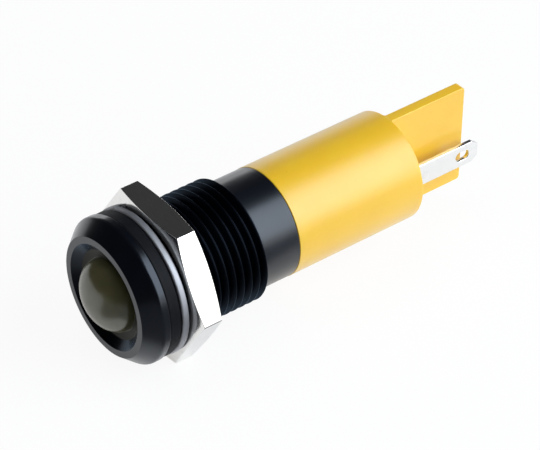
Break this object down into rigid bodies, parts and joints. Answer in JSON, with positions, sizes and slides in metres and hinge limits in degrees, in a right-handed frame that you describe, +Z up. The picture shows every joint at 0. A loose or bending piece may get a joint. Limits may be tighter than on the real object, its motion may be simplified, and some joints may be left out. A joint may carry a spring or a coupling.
{
  "type": "panel pilot light",
  "caption": "Panel pilot light with a domed lamp in a black threaded barrel, hex nut, spring washer, rubber seal, yellow rear housing and solder tabs.",
  "frame": {"origin": "on the light's axis, in the plane where the seal's rear face meets the front of the panel", "axes": "+Y along the light's axis, from the lamp towards the tabs; the divider plate stands in the YZ plane, +Z up"},
  "size_m": [0.0196, 0.0504, 0.0174],
  "materials": {
    "black_plate": "gloss black plate on turned brass",
    "lamp_resin": "diffused olive-grey epoxy resin",
    "gasket_rubber": "plain black rubber",
    "tinned_wire": "bright tinned copper",
    "holder_plastic": "moulded black plastic",
    "board_laminate": "green glass-fibre laminate",
    "resistor_coat": "tan lacquer with colour bands",
    "diode_case": "black moulded case with a pale band",
    "solder": "dull bright solder",
    "tab_metal": "silver-white plated strip",
    "housing_plastic": "satin golden yellow plastic",
    "potting": "dark potting resin",
    "seal_rubber": "dark charcoal rubber",
    "spring_steel": "bright zinc-plated spring steel",
    "nickel_plate": "satin nickel plate on machined brass"
  },
  "bodies": {
    "light": {"bezel_barrel": "black_plate", "lamp": "lamp_resin", "lamp_gasket": "gasket_rubber", "anode_lead": "tinned_wire", "cathode_lead": "tinned_wire", "lead_holder": "holder_plastic", "circuit_board": "board_laminate", "resistor": "resistor_coat", "resistor_front_wire": "tinned_wire", "resistor_rear_wire": "tinned_wire", "diode": "diode_case", "diode_front_wire": "tinned_wire", "diode_rear_wire": "tinned_wire", "lamp_solder": "solder", "wire_solder": "solder", "tab_solder": "solder", "positive_tab": "tab_metal", "negative_tab": "tab_metal", "rear_housing": "housing_plastic", "potting_resin": "potting", "panel_seal": "seal_rubber"},
    "washer": {"lock_washer": "spring_steel"},
    "nut": {"hex_nut": "nickel_plate"}
  },
  "joints": [
    {"name": "washer_travel", "type": "slide", "parent": "light", "child": "washer", "axis": [0, 1, 0], "range_m": [0, 0.01]},
    {"name": "nut_turn", "type": "hinge", "parent": "washer", "child": "nut", "pos_m": [0, 0, 0], "axis": [0, 1, 0], "range_deg": [0, 3600]}
  ],
  "couplings": [
    {"joint": "washer_travel", "follows": "nut_turn", "m_per_rad": 0.00015915}
  ]
}
